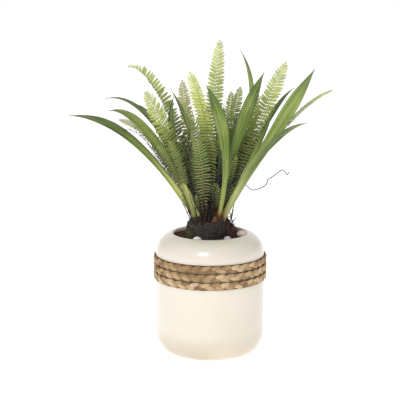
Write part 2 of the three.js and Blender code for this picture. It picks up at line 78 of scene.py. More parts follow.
class Link:
    """An output in a material. Arithmetic on it adds Math nodes to the same material."""

    def __init__(self, finish, socket):
        self.finish = finish
        self.socket = socket

    def math(self, operation, *values):
        return self.finish.node("Math", {"operation": operation}, dict(enumerate(values)))

    def __add__(self, other):
        return self.math("ADD", self, other)

    def __sub__(self, other):
        return self.math("SUBTRACT", self, other)

    def __rsub__(self, other):
        return self.math("SUBTRACT", other, self)

    def __mul__(self, other):
        return self.math("MULTIPLY", self, other)

    def __gt__(self, other):
        return self.math("GREATER_THAN", self, other)

    def __abs__(self):
        return self.math("ABSOLUTE", self)

    __radd__ = __add__
    __rmul__ = __mul__

    def between(self, low, high):
        """How far this value has come from low to high, kept from 0 to 1."""
        return self.finish.node("MapRange", {"clamp": True}, {0: self, 1: low, 2: high})


class Mixer:
    """Builds the nodes of one material, or of the sky."""

    def __init__(self, holder):
        self.holder = holder
        holder.use_nodes = True
        self.tree = holder.node_tree

    def feed(self, node, name, value):
        """Links a socket, or sets it to a value or a colour's code."""
        if isinstance(value, Link):
            self.tree.links.new(value.socket, node.inputs[name])
        else:
            node.inputs[name].default_value = paint(value) if isinstance(value, str) else value

    def node(self, kind, settings=None, inputs=None, output=0):
        """Any node: its type, its settings, which are set first, and its sockets' values or links."""
        node = self.tree.nodes.new(f"ShaderNode{kind}")
        for name, value in (settings or {}).items():
            if name == "stops":
                elements = node.color_ramp.elements
                while len(elements) < len(value):
                    elements.new(1)
                for element, (position, code) in zip(elements, value):
                    element.position = position
                    element.color = paint(code)
            else:
                setattr(node, name, value)
        for name, value in (inputs or {}).items():
            self.feed(node, name, value)
        return Link(self, node.outputs[output])

    def parts(self, vector):
        return [self.node("SeparateXYZ", None, {0: vector}, axis) for axis in "XYZ"]


class Finish(Mixer):
    """One procedural material. What stays the same all over is set on the surface's own sockets."""

    def __init__(self, name, specular=0.2, **surface):
        super().__init__(bpy.data.materials.new(name))
        self.dress(Specular_IOR_Level=specular, **surface)

    def dress(self, **surface):
        for name, value in surface.items():
            self.feed(self.tree.nodes["Principled BSDF"], name.replace("_", " "), value)

    def place(self):
        return self.node("TexCoord", output="Object")

    def mark(self):
        """The three marks that a mesh carries at each point."""
        return self.parts(self.node("Attribute", {"attribute_name": "mark"}, output="Vector"))

    def shade(self):
        return self.node("Attribute", {"attribute_name": "shade"}, output="Fac")

    def vector(self, x, y, z):
        return self.node("CombineXYZ", None, {0: x, 1: y, 2: z})

    def noise(self, vector, scale, detail=2, roughness=0.5):
        sockets = {"Vector": vector, "Scale": scale, "Detail": detail, "Roughness": roughness}
        return self.node("TexNoise", None, sockets)

    def ramp(self, value, *stops):
        return self.node("ValToRGB", {"stops": stops}, {0: value})

    def mix(self, first, second, share):
        return self.node("Mix", {"data_type": "RGBA"}, {0: share, 6: first, 7: second}, 2)

    def relief(self, height, depth):
        """Bumps of that depth, in millimetres."""
        return self.node("Bump", None, {"Height": height, "Distance": depth * MM})


def show(name, data):
    """Puts a new object in the scene."""
    obj = bpy.data.objects.new(name, data)
    bpy.context.scene.collection.objects.link(obj)
    return obj


class Form:
    """A piece's mesh in millimetres, put together skin by skin. Each point has three marks and a shade."""

    def __init__(self):
        self.points = []
        self.marks = []
        self.shades = []
        self.faces = []

    def point(self, place, mark=(0, 0, 0), shade=0):
        self.points.append(Vector(place) * MM)
        self.marks.append(mark)
        self.shades.append(shade)
        return len(self.points) - 1

    def level(self, radius, height, sides, mark=0, shade=0):
        """A level ring of points round the pot's axis, marked from 0 to 1 round it."""
        return [
            self.point(polar(radius, turn, height), (turn / (2 * pi), 0, mark), shade)
            for turn in turns(sides)]

    def skin(self, rows, capped=True):
        """Joins rows of points that each run round on themselves, and shuts the two ends."""
        for low, high in zip(rows, rows[1:]):
            for i in range(len(low)):
                j = (i + 1) % len(low)
                self.faces.append((low[i], low[j], high[j], high[i]))
        if capped:
            self.faces.append(tuple(reversed(rows[0])))
            self.faces.append(tuple(rows[-1]))

    def piece(self, name, finish, slot, *nodes, crease=60):
        """Makes the object, sets it on the pot's body and hides the solids that it stands for."""
        mesh = bpy.data.meshes.new(name)
        mesh.from_pydata(self.points, [], self.faces)
        marks = mesh.attributes.new("mark", "FLOAT_VECTOR", "POINT")
        marks.data.foreach_set("vector", [part for mark in self.marks for part in mark])
        shades = mesh.attributes.new("shade", "FLOAT", "POINT")
        shades.data.foreach_set("value", self.shades)
        shell = bmesh.new()
        shell.from_mesh(mesh)
        bmesh.ops.recalc_face_normals(shell, faces=shell.faces)
        shell.to_mesh(mesh)
        shell.free()
        mesh.shade_smooth()
        mesh.set_sharp_from_angle(angle=radians(crease))
        mesh.materials.append(finish.holder)
        obj = show(name, mesh)
        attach(obj, "root")
        if nodes:
            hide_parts(*nodes)


def shares(steps):
    """Evenly spaced numbers from 0 to 1."""
    return [i / steps for i in range(steps + 1)]


def turns(count):
    """Evenly spaced angles once round."""
    return [2 * pi * i / count for i in range(count)]


def polar(radius, angle, height=0):
    return Vector((radius * cos(angle), radius * sin(angle), height))


def shoulder_run(radius, inset, clearance=0):
    """The shoulder's section, drawn in by inset, from the belly in to that radius."""
    share = (radius - POT_RADIUS + SHOULDER_REACH) / (SHOULDER_REACH - inset)
    last = acos(share ** (SHOULDER_POWER / 2))
    run = []
    for turn in (last * part for part in shares(SHOULDER_STEPS)):
        across = (SHOULDER_REACH - inset - clearance) * cos(turn) ** (2 / SHOULDER_POWER)
        up = (SHOULDER_RISE - inset - clearance) * sin(turn) ** (2 / SHOULDER_POWER)
        run.append((POT_RADIUS - SHOULDER_REACH + across, POT_HEIGHT - SHOULDER_RISE + up))
    return run


def foot_run(inset, floor):
    """The rounding above the foot, from the flat up to the belly."""
    reach = POT_RADIUS - FOOT_RADIUS - inset / 2
    rise = FOOT_RISE - inset / 2
    return [
        (POT_RADIUS - inset - reach * (1 - sin(turn)), floor + rise * (1 - cos(turn)))
        for turn in (pi / 2 * share for share in shares(FOOT_STEPS))]


def hollow_run(clearance):
    """The pot's hollow, from the corner of its floor up to the neck."""
    bowl = foot_run(POT_WALL + clearance, POT_FLOOR + clearance)
    return bowl + shoulder_run(NECK_RADIUS, POT_WALL, clearance)


section = foot_run(0, 0) + shoulder_run(MOUTH_RADIUS, 0)
mouth_height = section[-1][1] - LIP_RADIUS
for share in shares(LIP_STEPS)[1:]:
    turn = pi / 2 * (1 + share)
    section.append((LIP_CENTRE + LIP_RADIUS * cos(turn), mouth_height + LIP_RADIUS * sin(turn)))
section += hollow_run(0)[::-1]
pot = Form()
pot.skin([pot.level(radius, height, POT_SIDES) for radius, height in section])

glaze = Finish("cream_glaze", 0.5, Coat_Weight=0.35, Coat_Roughness=0.1, Roughness=0.22)
where = glaze.place()
cloud = glaze.noise(where, 9, 3)
height = glaze.parts(where)[2]
# Painted shade: the glaze darkens gradually down to the foot.
body = glaze.mix("b9a790", "e9e1d2", height.between(0, FOOT_SHADE_HEIGHT))
glaze.dress(
    Base_Color=glaze.mix(body, "e5dac7", cloud.between(0.45, 0.8)),
    Normal=glaze.relief(glaze.noise(where, 130, 1), 0.12))
pot.piece("glazed_pot", glaze, "cream_glaze", "pot")

# ---------------- rope
# Three rows of rope lie round the pot under its shoulder, glued on. Each is a flat plait of three
# strands of dried water hyacinth stem, tan to brown, whose fibres show as fine ridges.

ROPE_BACK = POT_RADIUS + 0.3
STRANDS = 3
PLAIT_CYCLES = 12  # how often a strand goes over and back in one round of the pot
STRAND_WIDTH = 3.3
STRAND_THICK = 1.0
STRAND_LOW = 1.0  # how far a strand's middle stands off the wall where it passes under
STRAND_DIVE = 0.62  # half of how far it comes out from there as it passes over
STRAND_STEPS = 420
STRAND_SIDES = 20
FIBRE_RIDGES = 9
ROW_SLIT = 0.3  # half the slit between two rows, dark with the backing's painted shade
BACKING_THICK = 1.1  # a flat band under the strands, dark with painted shade, that closes the gaps between them
BACKING_INSET = 0.35  # how far it stays below a row's two edges
BACKING_SINK = 0.2
BACKING_TONE = 0.3
# How strongly painted shade darkens the backing.
BACKING_SHADE = 0.75


class Chance(random.Random):
    """Seeded random draws. Called with two limits, it draws a number between them."""

    __call__ = random.Random.uniform


def uneven(seed, angle, *waves):
    """A gentle wave round the pot that closes on itself, from -1 to 1."""
    chance = Chance(seed)
    return sum(sin(wave * angle + chance(0, 2 * pi)) for wave in waves) / len(waves)


def strand_cycle(row, strand, angle):
    cycle = PLAIT_CYCLES * angle + 2 * pi * strand / STRANDS + 0.9 * row
    return cycle + 0.25 * uneven(f"pace {row}", angle, 3, 7, 11)


def strand_centre(row, strand, angle, middle, sway):
    """A strand swings from side to side, over the others on its way out and under on its way back."""
    cycle = strand_cycle(row, strand, angle)
    up = sway * sin(cycle) * (1 + 0.08 * uneven(f"sway {row} {strand}", angle, 5, 9, 17))
    return polar(ROPE_BACK + STRAND_LOW + STRAND_DIVE * (1 + sin(2 * cycle)), angle, middle + up)


def lobe_tone(row, strand, cycle):
    """How pale the strand is: each stretch from one turn to the next has a tone of its own."""
    lobe = cycle / pi
    whole = int(lobe // 1)
    share = lobe - whole
    share = share * share * (3 - 2 * share)
    lobes = 2 * PLAIT_CYCLES
    tones = [Chance(f"tone {row} {strand} {(whole + k) % lobes}").random() for k in (0, 1)]
    return tones[0] * (1 - share) + tones[1] * share


fibre = Finish("plaited_hyacinth", 0.25)
along, around, tone = fibre.mark()
streak = fibre.noise(fibre.vector(along * 34, around * 3.2, tone * 5), 1, 3, 0.65)
flecks = fibre.noise(fibre.vector(along * 90, around * 2.2, tone * 9), 1)
tan = fibre.ramp(
    streak * 0.55 + tone * 0.5 - 0.02,
    (0.24, "765b3e"), (0.38, "a4845e"), (0.52, "bf9e75"), (0.66, "d6b88f"), (0.84, "eedab8"))
tan = fibre.mix(tan, "6f5236", flecks.between(0.56, 0.7) * 0.55)
# The shade mark paints shade into the plait: dark brown where strands pass under, at their edges and on the
# backing.
fibre.dress(
    Base_Color=fibre.mix(tan, "3a2917", fibre.shade().between(0.15, 1) * 0.9),
    Roughness=0.6 + streak * 0.25,
    Normal=fibre.relief(fibre.noise(fibre.vector(along * 50, around * 9, tone), 1, 3, 0.7), 0.7))

for row, name in enumerate(("bottom", "middle", "top")):
    node = f"braid_row_{name}"
    low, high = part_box(node)
    middle = (low[2] + high[2]) / 2 / MM
    half = (high[2] - low[2]) / 2 / MM
    sway = half - STRAND_WIDTH - ROW_SLIT
    rope = Form()
    for strand in range(STRANDS):
        rings = []
        for angle in turns(STRAND_STEPS):
            cycle = strand_cycle(row, strand, angle)
            centre = strand_centre(row, strand, angle, middle, sway)
            ahead = strand_centre(row, strand, angle + 0.01, middle, sway) - centre
            outward = polar(1, angle)
            across = ahead.cross(outward).normalized()
            swell = 1 + 0.1 * uneven(f"width {row} {strand}", angle, 13, 19, 29)
            under = 0.5 - 0.5 * sin(2 * cycle)
            ring = []
            for turn in turns(STRAND_SIDES):
                ridge = 1 + 0.05 * sin(FIBRE_RIDGES * turn + 31 * angle)
                wide = STRAND_WIDTH * swell * ridge * cos(turn)
                thick = STRAND_THICK * ridge * sin(turn)
                edge = abs(cos(turn)) ** 4
                # Painted shade: darker where the strand passes under the others and towards its two edges.
                hidden = min(1, 0.75 * under ** 2 + 0.6 * edge * (1 - 0.4 * (1 - under)))
                mark = (angle / (2 * pi), cos(turn), lobe_tone(row, strand, cycle))
                ring.append(rope.point(centre + across * wide + outward * thick, mark, hidden))
            rings.append(ring)
        rope.skin(rings + rings[:1], capped=False)
    # A band behind the strands, darkened with painted shade, fills the gaps in the plait.
    rings = []
    for out, way in ((0, -1), (BACKING_THICK, -1), (BACKING_THICK, 1), (0, 1)):
        radius = ROPE_BACK - BACKING_SINK + out
        height = middle + way * (half - BACKING_INSET)
        rings.append(rope.level(radius, height, POT_SIDES, BACKING_TONE, BACKING_SHADE))
    rope.skin(rings + rings[:1], capped=False)
    rope.piece(f"rope_plait_{name}", fibre, "rope", node)

# ---------------- soil
# Dark potting soil fills the pot to just under its neck, with chips of bark on it. The chips are
# loose, lie at all angles and are strewn over the ring of soil round the mound.

SOIL_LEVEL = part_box("soil")[1][2] / MM
SOIL_SIDES = 96
SOIL_CLEARANCE = 0.3  # from the pot's wall
SOIL_STOP = 6  # the soil's side ends this many steps of the hollow below the neck
CHIP_COUNT = 420
CHIP_RING = (31, 54)
CHIP_OUTLINE = ((-1, -0.7), (-0.2, -1), (0.9, -0.6), (1, 0.5), (0.1, 1), (-0.9, 0.6))

earth = Finish("potting_soil")
where = earth.place()
grain = earth.noise(where, 420, 4, 0.7)
earth.dress(
    Base_Color=earth.ramp(grain, (0.3, "251a13"), (0.5, "463223"), (0.7, "6f513d")),
    Roughness=0.8 + grain * 0.2,
    Normal=earth.relief(earth.noise(where, 700, 3, 0.7), 0.8))

soil = Form()
side = hollow_run(SOIL_CLEARANCE)[:-SOIL_STOP]
rings = [soil.level(radius, height, SOIL_SIDES) for radius, height in side]
for share in (1, 0.96, 0.9, 0.83, 0.76, 0.69, 0.62, 0.5, 0.3):
    ring = []
    for angle in turns(SOIL_SIDES):
        radius = share * (NECK_RADIUS - 0.2)
        lift = 0.7 * noise.fractal(polar(radius, angle) / 9, 0.9, 2, 3) - 0.4
        ring.append(soil.point(polar(radius, angle, SOIL_LEVEL + lift)))
    rings.append(ring)
soil.skin(rings)
soil.piece("soil_bed", earth, "soil", "soil")

bark = Finish("bark_chips", Roughness=0.9)
flake = bark.noise(bark.place(), 900)
bark.dress(
    Base_Color=bark.ramp(
        bark.shade() * 0.75 + flake * 0.25,
        (0.1, "251a13"), (0.45, "523626"), (0.75, "7b533b"), (0.95, "a58567")),
    Normal=bark.relief(flake, 0.3))

chance = Chance("bark chips")
chips = Form()
for chip in range(CHIP_COUNT):
    angle = chance(0, 2 * pi)
    radius = sqrt(chance(CHIP_RING[0] ** 2, CHIP_RING[1] ** 2))
    middle = polar(radius, angle, SOIL_LEVEL - 0.2)
    size = chance(0.8, 2.2)
    lay = chance(0, pi)
    long_way = polar(1, lay, chance(-0.4, 0.4)) * size
    cross_way = Vector((-sin(lay), cos(lay), chance(-0.3, 0.3))) * size * 0.6
    thick = Vector((0, 0, size * chance(0.2, 0.4)))
    shade = chance.random()
    chips.skin([
        [
            chips.point(
                middle + long_way * (x * chance(0.75, 1)) + cross_way * (y * chance(0.75, 1))
                + thick * (side * chance(0.7, 1.1)), shade=shade)
            for x, y in CHIP_OUTLINE]
        for side in (-1, 1)])
chips.piece("soil_bark_chips", bark, "soil", crease=20)

# ---------------- root mound
# The plant's root ball stands out of the soil as a lumpy dome of peat and fine roots, grown over
# with moss on its left. Every stem of the plant grows out of it, and it is fullest in front of them.

MOUND_RADIUS = 36
MOUND_HEIGHT = 32
MOUND_CENTRE_X = -1
MOUND_POWER = 2.6
PEAT_HEIGHT = 38
PEAT_HEAPS = ((15, -25, 3.2), (-18, -22, 2))  # where peat is heaped against the leaves' feet: x, y, size
HEAP_SPREAD = 60
PEAT_POWER_SIDE = 2.5
PEAT_POWER_FRONT = 3.7
MOUND_SIDES = 132
MOUND_ROWS = 44
SPRIG_COUNT = 5200
ROOT_COUNT = 120
LOOP_COUNT = 20
TUFT_BLADES = 150


def mound_rise(x, y):
    """How far a stem's foot stands above the soil there."""
    share = min(hypot(x - MOUND_CENTRE_X, y) / MOUND_RADIUS, 1)
    return MOUND_HEIGHT * (1 - share ** MOUND_POWER) ** (1 / MOUND_POWER)


def mound_point(angle, share, proud=0):
    """A point of the mound's lumpy skin. share runs from 0 at its top to 1 at its foot."""
    lean = pi / 2 * share
    front = max(-sin(angle), 0) ** 1.5
    power = PEAT_POWER_SIDE + (PEAT_POWER_FRONT - PEAT_POWER_SIDE) * front
    radius = MOUND_RADIUS * sin(lean) ** (2 / power)
    rise = PEAT_HEIGHT * cos(lean) ** (2 / power)
    radius *= 1 + 0.035 * sin(5 * angle + 3) + 0.02 * sin(9 * angle - 1)
    outward = Vector((cos(angle) * sin(lean), sin(angle) * sin(lean), cos(lean)))
    place = Vector((MOUND_CENTRE_X + radius * cos(angle), radius * sin(angle), SOIL_LEVEL + rise))
    lumps = 1.5 * noise.fractal(place / 9, 0.8, 2, 2) + 0.8 * noise.fractal(place / 2.2, 0.9, 2, 2)
    for x, y, size in PEAT_HEAPS:
        lumps += size * exp(-((place.x - x) ** 2 + (place.y - y) ** 2) / HEAP_SPREAD)
    return place + outward * (lumps + proud), outward


def mossiness(finish):
    """More to the left and low down, in patches."""
    x, y, z = finish.parts(finish.place())
    return finish.noise(finish.place(), 60, 3) * 1.3 - x * 18 - z * 6


peat = Finish("mossy_peat", 0.15, Roughness=0.95)
crumb = peat.noise(peat.place(), 520, 4, 0.75)
mossy = (mossiness(peat) + 0.36).between(0, 0.9)
dark = peat.ramp(crumb, (0.3, "1c1b1c"), (0.5, "3a3735"), (0.72, "68615a"))
green = peat.ramp(crumb, (0.3, "282b20"), (0.5, "4a4d33"), (0.7, "757a50"))
peat.dress(Base_Color=peat.mix(dark, green, mossy), Normal=peat.relief(crumb, 0.9))

mound = Form()
rings = []
for share in shares(MOUND_ROWS):
    rings.append([mound.point(mound_point(turn, 0.02 + 0.98 * share)[0]) for turn in turns(MOUND_SIDES)])
skirt = Vector((0, 0, 3))
rings.append([mound.point(mound_point(turn, 1)[0] - skirt) for turn in turns(MOUND_SIDES)])
mound.skin(rings)
mound.piece("root_ball", peat, "moss", "root_mound")


def hoop(form, middle, way, across, radius, sides, mark, shade):
    """A ring of points that stands square to its way."""
    up = way.cross(across)
    return [
        form.point(middle + (across * cos(turn) + up * sin(turn)) * radius, mark, shade)
        for turn in turns(sides)]


def spike(form, base, tip, radius, sides=3, shade=0):
    """A thin pointed needle from base to tip."""
    way = (tip - base).normalized()
    ring = hoop(form, base, way, way.orthogonal().normalized(), radius, sides, (0, 0, 0), shade)
    point = form.point(tip, shade=shade)
    form.faces.append(tuple(reversed(ring)))
    for i in range(sides):
        form.faces.append((ring[i], ring[(i + 1) % sides], point))


moss = Finish("moss_sprigs", Roughness=0.85)
shade = moss.shade()
mossy = (mossiness(moss) + shade * 0.15 + 0.34).between(0, 0.8)
dark = moss.ramp(shade, (0, "201d1e"), (0.7, "4d4743"), (1, "a0968c"))
green = moss.ramp(shade, (0, "2b2f20"), (0.6, "62683f"), (1, "bcc288"))
moss.dress(Base_Color=moss.mix(dark, green, mossy))

chance = Chance("moss sprigs")
sprigs = Form()
for sprig in range(SPRIG_COUNT):
    angle = chance(0, 2 * pi)
    share = chance(0.03, 1) ** 0.7
    base, outward = mound_point(angle, share, -0.4)
    lean = Vector([chance(-1, 1) for axis in range(3)])
    long = chance(1.2, 3) * (1.25 if base.x < -12 else 1)
    tip = base + (outward + lean * 0.75).normalized() * long
    spike(sprigs, base, tip, chance(0.16, 0.34), shade=chance.random())
sprigs.piece("moss_cover", moss, "moss")


def rod(form, line, foot, end, sides=6, shade=0, mark=0):
    """A round rod along a line of points, with its radius at the foot and at the end."""
    rings = []
    across = None
    last = len(line) - 1
    for i, place in enumerate(line):
        way = (line[min(i + 1, last)] - line[max(i - 1, 0)]).normalized()
        across = way.orthogonal() if across is None else across - way * across.dot(way)
        across.normalize()
        radius = foot + (end - foot) * (i / last)
        rings.append(hoop(form, place, way, across, radius, sides, (i / last, mark, 0), shade))
    form.skin(rings)


def arc(start, bend, end, share):
    """A point of the curve from start to end that leans towards bend."""
    return start * (1 - share) ** 2 + bend * 2 * share * (1 - share) + end * share ** 2


root_skin = Finish("fine_roots", 0.25, Roughness=0.7)
root_skin.dress(Base_Color=root_skin.ramp(
    root_skin.shade() * 0.85 + root_skin.noise(root_skin.place(), 300) * 0.15,
    (0.1, "1a1716"), (0.45, "372c27"), (0.8, "5c3b2c"), (1, "85594a")))

chance = Chance("fine roots")
roots = Form()
for root in range(ROOT_COUNT):
    right = root % 3 == 0
    angle = chance(-0.7, 0.4) if right else chance(0, 2 * pi)
    share = chance(0.3, 0.95)
    drift = chance(-0.12, 0.12)
    climb = chance(-0.04, 0.04)
    line = []
    steps = chance.randint(6, 12)
    for step in range(steps + 1):
        proud = 0.35 + 1.1 * sin(pi * step / steps) * chance(0.3, 1)
        if step in (0, steps):
            proud = -1.2
        line.append(mound_point(angle, min(max(share, 0.08), 1), proud)[0])
        angle += drift + chance(-0.04, 0.04)
        share += climb + chance(-0.02, 0.02)
    foot = chance(0.22, 0.42)
    rod(roots, line, foot, 0.15, 5, chance(0.3, 1) if right else chance.random() * 0.5)
for loop in range(LOOP_COUNT):
    # A root that comes out of the mound's right side, arches over and dips back into the soil.
    angle = chance(-0.8, 0.05)
    base = mound_point(angle, chance(0.62, 0.9), -1)[0]
    reach = chance(6, 14)
    side = Vector((-sin(angle), cos(angle), 0)) * chance(-5, 5)
    end = base + polar(1, angle) * reach + side
    end.z = SOIL_LEVEL - 0.5
    top = (base + end) / 2 + Vector((reach * 0.3, 0, chance(5, 15)))
    rod(roots, [arc(base, top, end, share) for share in shares(10)], 0.45, 0.22, 5, chance(0.55, 1))
roots.piece("fine_roots", root_skin, "moss")

chance = Chance("tuft")
tuft = Form()
for blade in range(TUFT_BLADES):
    # A tuft of short brown blades stands where the mound's right side meets the soil.
    base = mound_point(chance(-0.75, 0.15), chance(0.75, 1), -0.6)[0]
    way = Vector((chance(-0.1, 1.1), chance(-0.6, 0.5), chance(0.5, 1.5))).normalized()
    spike(tuft, base, base + way * chance(5, 14), chance(0.3, 0.5), 4, chance.random())
tuft.piece("mound_tuft", root_skin, "moss")

# ---------------- pebbles
# Five smooth river pebbles lie on the soil by the rim. They are white, mauve and cream, worn round
# and a little dusty, and rest where they were dropped.

STONES = {
    "white": ("pale_stone", "dcd9d0", "f6f4ee"),
    "mauve": ("mauve_stone", "b9aeb6", "e2dade"),
    "cream": ("cream_stone", "d8c6ae", "f0e4d2"),
}
PEBBLE_ROWS = 24
PEBBLE_SIDES = 36
CREAM_STRETCH = 1.12  # the cream pebble in front is longer from side to side than its solid

stones = {}
for kind, (slot, dull, pale) in STONES.items():
    stone = Finish(slot, 0.5, Roughness=0.55)
    where = stone.place()
    stone.dress(
        Base_Color=stone.ramp(stone.noise(where, 160, 4), (0.35, dull), (0.65, pale)),
        Normal=stone.relief(stone.noise(where, 900), 0.15))
    stones[kind] = stone

for name in ("white", "mauve", "cream", "back_cream", "back_white"):
    low, high = [Vector(corner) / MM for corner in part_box(f"pebble_{name}")]
    middle, size = (low + high) / 2, (high - low) / 2
    if name == "cream":
        size.x *= CREAM_STRETCH
    pebble = Form()
    rings = []
    for row in range(1, PEBBLE_ROWS):
        lean = pi * row / PEBBLE_ROWS
        ring = []
        for angle in turns(PEBBLE_SIDES):
            way = polar(sin(lean), angle, cos(lean))
            worn = 1 + 0.05 * noise.noise(way * 1.3 + middle)
            ring.append(pebble.point(middle + way * size * worn))
        rings.append(ring)
    pebble.skin(rings)
    kind = name.split("_")[-1]
    pebble.piece(f"river_pebble_{name}", stones[kind], STONES[kind][0], f"pebble_{name}")

# ---------------- strap leaves
# Twenty long strap leaves stand in a loose fan, two of them narrow and half hidden. Each is a thin
# blade folded along its midrib, pale at its foot and drawn out to a fine tip, with veins all along.

ROOT_DEPTH = 9  # how deep a stem stands in the mound
ROOT_SINK = 1.5
STRAP_STEPS = 46
FOOT_PINCH = 0.46  # how narrow the very foot is against the blade just above it
PINCH_REACH = 0.16
STRAP_POINT = 0.9
STRAP_FOLD = 0.24
STRAP_BELLY = 2.3  # moves the widest place towards the tip
STRAP_SWELL = 1.2
BLADE_EDGE = 0.14
BLADE_RIB = 0.42
STRAP_SPAN = (-1, -0.8, -0.55, -0.28, 0, 0.28, 0.55, 0.8, 1)

# Each tint's foot, low, high and tip colours. The grey-blue of the tips and of the grey tint's upper blade
# is partly the leaves' own colour and partly a painted sheen.
STRAP_TINTS = {
    "deep": ("e2e78e", "8a9a50", "4a5d2f", "5f6a52"),
    "green": ("e3e892", "84954a", "83974a", "66724f"),
    "blue": ("98a657", "667b30", "63792f", "4f5e38"),
    "grey": ("c3ca8c", "6c7c48", "617350", "6e7b62"),
    "olive": ("c2c470", "7d853c", "6d7838", "596238"),
}
# Each leaf's foot on the mound, middle and tip, the way its upper side faces, its width low down and
# at its widest, and its tint.
STRAPS = {
    "left_long": ((-19, -14), (-116, -44, 335), (-206, -80, 376), (0.3, -1, 0.5), 12, 8, "deep"),
    "left_rear": ((-19, 1), (-110, -12, 328), (-189, -24, 372), (0.3, -1, 0.5), 8, 8, "grey"),
    "left_upper": ((-14, -18), (-86, -64, 344), (-144, -110, 386), (0.3, -1, 0.6), 13, 13, "green"),
    "left_back": ((-17, 13), (-90, 26, 357), (-167, 62, 390), (0.5, -1, 0.8), 5.4, 7, "grey"),
    "left_inner": ((-16, 7), (-77, 14, 341), (-114, 36, 383), (0.3, -1, 0.3), 5.4, 8, "grey"),
    "left_narrow": ((-9, -19), (-24, -48, 328), (-58, -74, 414), (0.2, -1, 0.3), 5.4, 6.5, "deep"),
    "left_short": ((-14, -4), (-54, -13, 327), (-55, -28, 400), (0.2, -1, 0.1), 5.4, 9, "deep"),
    "front_broad": ((11, -23), (21, -66, 325), (-7, -108, 422), (0, -1, 0.2), 7.5, 17, "blue"),
    "front_rear": ((4, -3), (17, 2, 316), (21, 8, 386), (0, -1, 0), 5.4, 9, "deep"),
    "right_tall": ((15, 11), (64, 34, 362), (48, 66, 467), (-0.2, -1, 0), 5.4, 7, "green"),
    "right_upright": ((9, -12), (43, -30, 344), (79, -42, 437), (0, -1, 0), 7, 18, "blue"),
    "right_inner": ((12, 3), (32, 7, 312), (49, 20, 376), (0.4, -1, 0), 5.4, 11, "deep"),
    "right_long": ((15, -15), (86, -46, 333), (151, -66, 443), (-0.3, -1, 0.3), 12, 19, "green"),
    "right_kinked": ((18, 7), (85, 26, 350), (134, 56, 408), (0, -1, 0.2), 5.4, 7, "grey"),
    "right_low": ((18, -20), (78, -62, 320), (137, -104, 368), (-0.3, -1, 0.6), 9.5, 9, "grey"),
    "right_olive": ((21, 1), (80, 3, 319), (129, 10, 360), (-0.2, -1, 0.3), 8, 9, "olive"),
    "back_left": ((-12, 21), (-55, 52, 315), (-98, 88, 352), (0.2, 1, 0.5), 5.4, 13, "green"),
    "back_right": ((12, 22), (48, 60, 312), (86, 96, 348), (-0.2, 1, 0.5), 5.4, 13, "deep"),
}
INNER_BLADES = {
    "right": ((17, -2), (73, -14, 326), (95, -20, 387), (0, -1, 0.2), 4, 6.5, "deep"),
    "middle": ((2, 2), (15, -6, 300), (24, -16, 362), (0, -1, 0), 4, 6, "deep"),
}


class Midrib:
    """The line that a leaf grows along, from its foot on the mound through its middle to its tip."""

    STEPS = 160

    def __init__(self, foot, middle, tip, face):
        self.start = Vector((*foot, SOIL_LEVEL + mound_rise(*foot) - ROOT_SINK))
        self.end = Vector(tip)
        self.bend = Vector(middle) * 2 - self.start * 0.5 - self.end * 0.5
        self.face = Vector(face).normalized()
        self.lengths = [0]
        places = [arc(self.start, self.bend, self.end, share) for share in shares(self.STEPS)]
        for last, place in zip(places, places[1:]):
            self.lengths.append(self.lengths[-1] + (place - last).length)
        self.length = self.lengths[-1]
        self.depth = ROOT_DEPTH / self.length

    def turn(self, share):
        """Where along the curve that share of its length is reached."""
        goal = share * self.length
        if goal <= 0:
            return 0
        step = min(bisect_left(self.lengths, goal), self.STEPS)
        before, after = self.lengths[step - 1:step + 1]
        return (step - 1 + (goal - before) / (after - before)) / self.STEPS

    def at(self, share):
        """Place, direction, side and normal. A share below 0 lies inside the mound."""
        turn = self.turn(max(share, 0))
        way = ((self.bend - self.start) * (1 - turn) + (self.end - self.bend) * turn).normalized()
        place = arc(self.start, self.bend, self.end, turn) + way * (min(share, 0) * self.length)
        normal = (self.face - way * self.face.dot(way)).normalized()
        return place, way, way.cross(normal), normal

    def stem(self, steps, depth=None):
        """Points from inside the mound to the tip."""
        depth = depth or self.depth
        return [self.at(-depth + (1 + depth) * share)[0] for share in shares(steps)]


blades = {}
for tint, (foot, low, high, tip) in STRAP_TINTS.items():
    blade = Finish(f"strap_leaf_{tint}", 0.22, Coat_Weight=0.05, Coat_Roughness=0.3)
    across, along = blade.mark()[:2]
    shade = blade.shade()
    grown = blade.ramp(along, (0, foot), (0.24, foot), (0.46, low), (0.8, high), (1, tip))
    stripes = blade.noise(blade.vector(across * 4.5, along * 1.1, shade * 30), 1, 3, 0.6)
    veins = blade.noise(blade.vector(across * 15, along * 0.8, shade * 30), 1, 2, 0.6)
    patches = blade.noise(blade.vector(across * 0.9, along * 6, shade * 30), 1)
    dark = blade.mix(grown, "34491a", 0.58)
    light = blade.mix(grown, "dde394", 0.42)
    striped = blade.mix(dark, grown, stripes.between(0.36, 0.54))
    striped = blade.mix(striped, light, (veins * 0.55 + patches * 0.45).between(0.47, 0.66) * 0.75)
    edged = blade.mix(striped, dark, abs(across).between(0.8, 1.05) * 0.8)
    folded = blade.mix(edged, light, (1 - abs(across)).between(0.9, 1) * 0.6)
    amber = (0.2 - along).between(0, 0.14) * shade.between(0.95, 1) * stripes.between(0.38, 0.62)
    blade.dress(
        Base_Color=blade.mix(folded, "a3713a", amber * 0.8),
        Roughness=0.38 + stripes * 0.25,
        Normal=blade.relief(veins, 0.3))
    blades[tint] = blade


def both_sides(span):
    """Once round a blade's section: across its upper side and back under it."""
    return [(1, out) for out in span] + [(-1, out) for out in span[-2:0:-1]]


